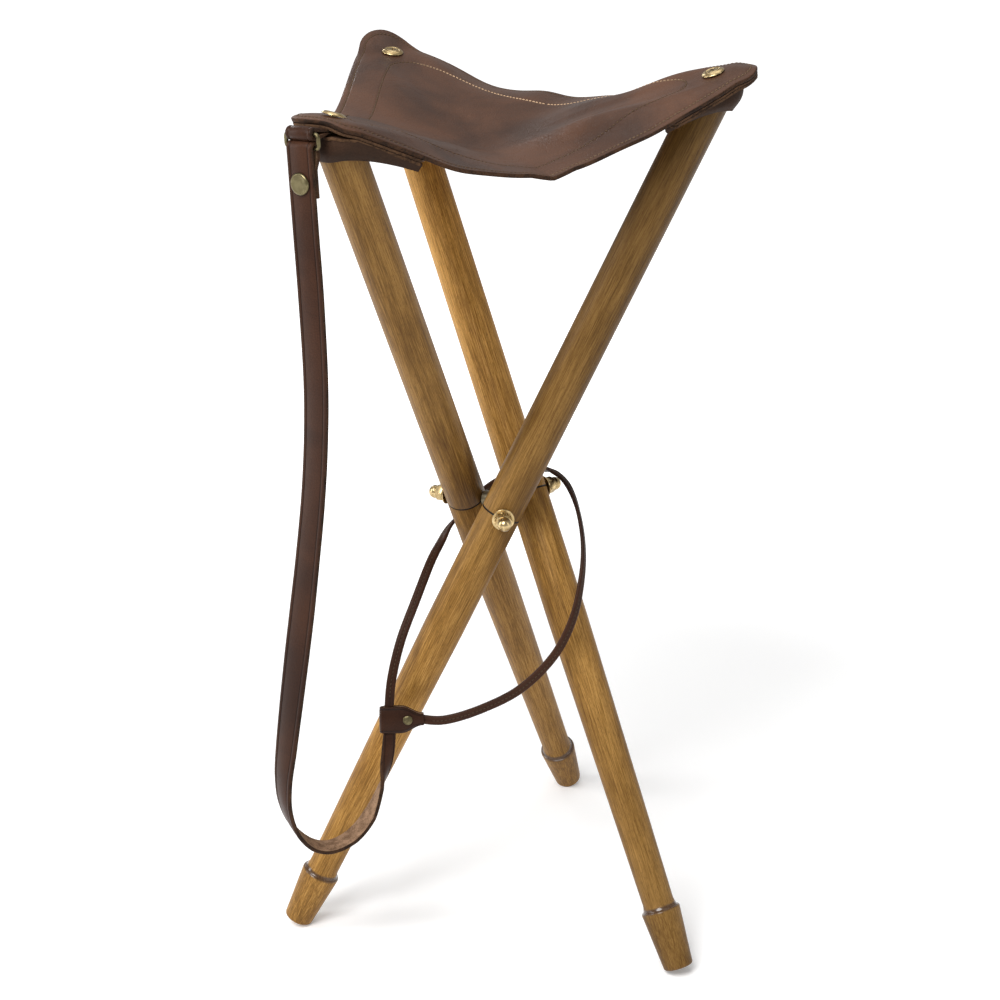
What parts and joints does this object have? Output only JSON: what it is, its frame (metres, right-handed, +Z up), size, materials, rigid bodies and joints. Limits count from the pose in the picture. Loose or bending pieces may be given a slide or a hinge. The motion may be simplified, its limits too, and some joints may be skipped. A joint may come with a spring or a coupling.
{
  "type": "folding tripod stool",
  "caption": "Folding stool with turned wooden legs crossing on a stud, a sagging leather sling seat with corner pockets, a carry strap and a closing noose.",
  "frame": {"origin": "on the ground, under the middle of the stool's own box with the straps left out", "axes": "+Z up; +X towards the right-hand corner of the seat; the strap hangs from the corner on the -X, -Y side"},
  "size_m": [0.3729, 0.3421, 0.663],
  "materials": {
    "stained_wood": "stained and waxed",
    "seat_leather": "smooth, waxed",
    "pocket_leather": "satin",
    "strap_leather": "smooth, creased edges",
    "brass": "polished",
    "antique_brass": "antiqued",
    "zinc_steel": "zinc plated"
  },
  "bodies": {
    "hub": {"hub_stud": "zinc_steel", "flat_washer_right": "brass", "flat_washer_left": "brass", "flat_washer_back": "brass", "lock_washer_right": "brass", "lock_washer_left": "brass", "lock_washer_back": "brass", "cap_nut_right": "brass", "cap_nut_left": "brass", "cap_nut_back": "brass", "seat_panel": "seat_leather", "carry_strap": "strap_leather", "noose": "strap_leather", "keeper": "strap_leather", "keeper_rivet": "antique_brass"},
    "leg_right": {"leg_right": "stained_wood", "pocket_right": "pocket_leather", "welt_right": "pocket_leather", "cup_washer_right": "brass", "seat_screw_right": "brass"},
    "leg_left": {"leg_left": "stained_wood", "pocket_left": "pocket_leather", "welt_left": "pocket_leather", "cup_washer_left": "brass", "seat_screw_left": "brass", "ring_tab": "strap_leather"},
    "leg_back": {"leg_back": "stained_wood", "pocket_back": "pocket_leather", "welt_back": "pocket_leather", "cup_washer_back": "brass", "seat_screw_back": "brass"},
    "strap_ring": {"strap_ring": "antique_brass", "strap_end": "strap_leather", "press_stud_cap": "antique_brass", "press_stud_base": "antique_brass"}
  },
  "joints": [
    {"name": "fold_right", "type": "hinge", "parent": "hub", "child": "leg_right", "pos_m": [-0.0025, -0.0394, 0.33535], "axis": [0, -1, 0], "range_deg": [0, 27.8], "deforming": ["seat_panel", "pocket_right", "pocket_left", "pocket_back", "welt_right", "welt_left", "welt_back", "noose", "carry_strap"]},
    {"name": "fold_left", "type": "hinge", "parent": "hub", "child": "leg_left", "pos_m": [-0.02588, 0.0011, 0.33535], "axis": [-0.866, 0.5, 0], "range_deg": [0, 27.8], "deforming": ["seat_panel", "pocket_right", "pocket_left", "pocket_back", "welt_right", "welt_left", "welt_back", "noose", "carry_strap"]},
    {"name": "fold_back", "type": "hinge", "parent": "hub", "child": "leg_back", "pos_m": [0.02088, 0.0011, 0.33535], "axis": [0.866, 0.5, 0], "range_deg": [0, 27.8], "deforming": ["seat_panel", "pocket_right", "pocket_left", "pocket_back", "welt_right", "welt_left", "welt_back", "noose", "carry_strap"]},
    {"name": "ring_swing", "type": "hinge", "parent": "leg_left", "child": "strap_ring", "pos_m": [-0.12558, -0.1598, 0.64255], "axis": [0.7676, -0.6409, 0], "range_deg": [-90, 25], "deforming": ["carry_strap"]}
  ],
  "couplings": [
    {"joint": "fold_left", "follows": "fold_right", "ratio": 1},
    {"joint": "fold_back", "follows": "fold_right", "ratio": 1}
  ]
}
